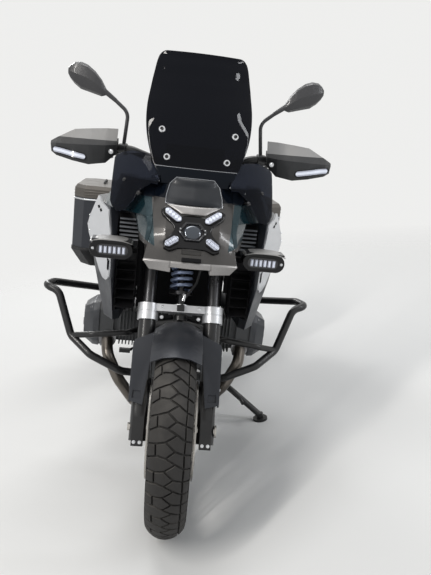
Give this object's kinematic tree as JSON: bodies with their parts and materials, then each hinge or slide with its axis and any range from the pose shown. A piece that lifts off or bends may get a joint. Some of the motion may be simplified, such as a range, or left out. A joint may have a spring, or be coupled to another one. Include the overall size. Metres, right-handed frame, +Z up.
{
  "type": "adventure motorcycle",
  "caption": "Flat-twin adventure motorcycle leaning on its side stand, with wire wheels, engine guards, hand guards, tall screen and two side cases with opening lids.",
  "frame": {"origin": "on the floor under the middle of the parked motorcycle, both tyres and the side stand foot at Z = 0", "axes": "+Z up, the motorcycle faces -Y, its left-hand side is +X; it leans 13 degrees towards +X on its side stand"},
  "size_m": [1.0945, 2.2843, 1.4862],
  "materials": {
    "tyre_rubber": "matt black tread rubber",
    "black_metal": "satin black powder coat",
    "slate_metal": "slate grey satin paint",
    "silver_alloy": "bead blasted and anodised",
    "engine_alloy": "dark grey painted castings",
    "steel": "brushed steel",
    "dark_steel": "dark coated steel",
    "spring_steel": "light steel blue paint",
    "body_bronze": "taupe bronze metallic",
    "body_teal": "deep teal metallic",
    "body_slate": "dark slate metallic",
    "black_plastic": "grained black plastic",
    "grey_plastic": "grained slate plastic",
    "smoked_screen": "dark smoked clear plastic",
    "lamp_clear": "clear lamp cover",
    "lamp_black": "gloss black",
    "seat_cover": "black textured cover",
    "grip_rubber": "ribbed rubber",
    "red_lens": "red lamp lens"
  },
  "bodies": {
    "root": {"engine_case": "engine_alloy", "frame_spine": "black_metal", "subframe_rear": "black_metal", "cylinders": "engine_alloy", "head_covers": "slate_metal", "exhaust_headers": "steel", "silencer": "dark_steel", "swingarm": "slate_metal", "front_arm": "black_metal", "front_shock": "spring_steel", "rear_shock": "spring_steel", "tank_cover": "body_teal", "tank_flanks": "body_slate", "flank_plates": "silver_alloy", "radiators": "black_metal", "duct_louvres": "black_plastic", "nose_cowl": "body_bronze", "headlamp": "lamp_black", "lamp_bars": "lamp_clear", "nose_panel": "body_slate", "side_cowls": "body_teal", "nose_carrier": "black_metal", "windscreen": "smoked_screen", "deflectors": "smoked_screen", "instrument": "black_plastic", "aux_lamps": "lamp_black", "crash_bars": "black_metal", "skid_plate": "silver_alloy", "footrests": "black_metal", "rider_seat": "seat_cover", "pillion_seat": "seat_cover", "luggage_rack": "black_metal", "tail_light": "red_lens", "plate_holder": "black_plastic", "pannier_boxes": "body_slate", "stand_bracket": "black_metal"},
    "steering": {"fork_sliders": "black_metal", "fork_tubes": "dark_steel", "fork_bridge": "silver_alloy", "top_yoke": "silver_alloy", "handlebar": "black_metal", "grips": "grip_rubber", "bar_controls": "black_plastic", "handguards": "grey_plastic", "mirrors": "black_plastic", "front_mudguard": "body_slate", "brake_calipers": "slate_metal", "front_axle": "steel", "brake_hose": "grip_rubber"},
    "front_wheel": {"front_tyre": "tyre_rubber", "front_rim": "black_metal", "front_discs": "steel"},
    "rear_wheel": {"rear_tyre": "tyre_rubber", "rear_rim": "black_metal", "rear_disc": "steel"},
    "side_stand": {"side_stand_leg": "black_metal"},
    "lid_left": {"pannier_lid_left": "silver_alloy"},
    "lid_right": {"pannier_lid_right": "silver_alloy"}
  },
  "joints": [
    {"name": "steering", "type": "hinge", "parent": "root", "child": "steering", "pos_m": [-0.13227, -0.7845, 0.3033], "axis": [0.2018, 0.4415, 0.8743], "range_deg": [-33.5, 40.5]},
    {"name": "front_wheel", "type": "hinge", "parent": "steering", "child": "front_wheel", "pos_m": [-0.1308, -0.81764, 0.3197], "axis": [0.9786, -0.0548, -0.1983], "continuous": true},
    {"name": "rear_wheel", "type": "hinge", "parent": "root", "child": "rear_wheel", "pos_m": [-0.13017, 0.7163, 0.3124], "axis": [0.9744, 0, -0.225], "continuous": true},
    {"name": "side_stand", "type": "hinge", "parent": "root", "child": "side_stand", "pos_m": [0.01314, -0.1107, 0.22184], "axis": [0.7147, -0.0775, 0.6951], "range_deg": [0, 98]},
    {"name": "pannier_lid_left", "type": "hinge", "parent": "root", "child": "lid_left", "pos_m": [0.23026, 0.5793, 0.8111], "axis": [0, -1, 0], "range_deg": [0, 90]},
    {"name": "pannier_lid_right", "type": "hinge", "parent": "root", "child": "lid_right", "pos_m": [-0.23549, 0.5793, 0.91863], "axis": [0, 1, 0], "range_deg": [0, 90]}
  ]
}
